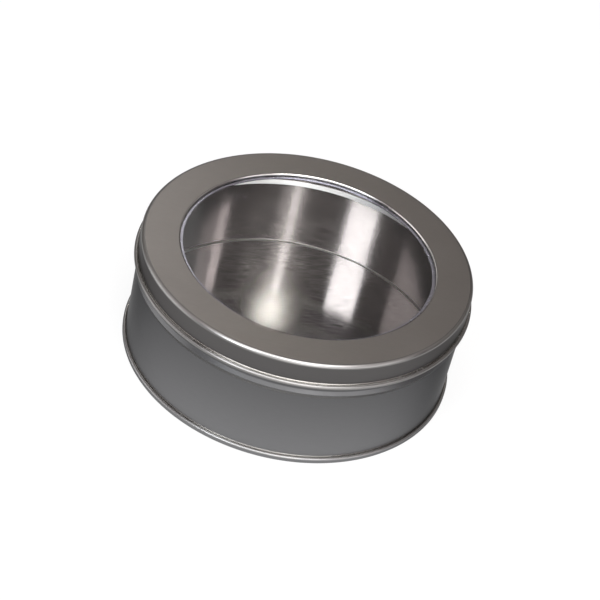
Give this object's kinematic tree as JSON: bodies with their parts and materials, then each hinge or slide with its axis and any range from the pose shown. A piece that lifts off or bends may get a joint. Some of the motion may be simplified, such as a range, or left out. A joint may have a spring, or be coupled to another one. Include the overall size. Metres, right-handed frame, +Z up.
{
  "type": "window lid tin",
  "caption": "Round slip-lid storage tin of satin tinplate: clear window held in a curled lid by an inner ring, stop bead round the wall, base joined by a folded seam.",
  "frame": {"origin": "centre of the foot ring, on the surface that the tin stands on", "axes": "+Z up along the tin's round axis; the body's side seam is on the -X side"},
  "size_m": [0.183, 0.183, 0.0667],
  "materials": {
    "satin_tinplate": "satin silver tinplate",
    "bright_tinplate": "bright rolled tinplate",
    "clear_plastic": "clear gloss sheet"
  },
  "bodies": {
    "tin_body": {"body_wall": "satin_tinplate", "base_disc": "bright_tinplate"},
    "lid": {"lid_shell": "satin_tinplate", "window_pane": "clear_plastic", "window_retaining_ring": "bright_tinplate"}
  },
  "joints": [
    {"name": "lid_lift", "type": "slide", "parent": "tin_body", "child": "lid", "axis": [0, 0, 1], "range_m": [0, 0.06]}
  ]
}
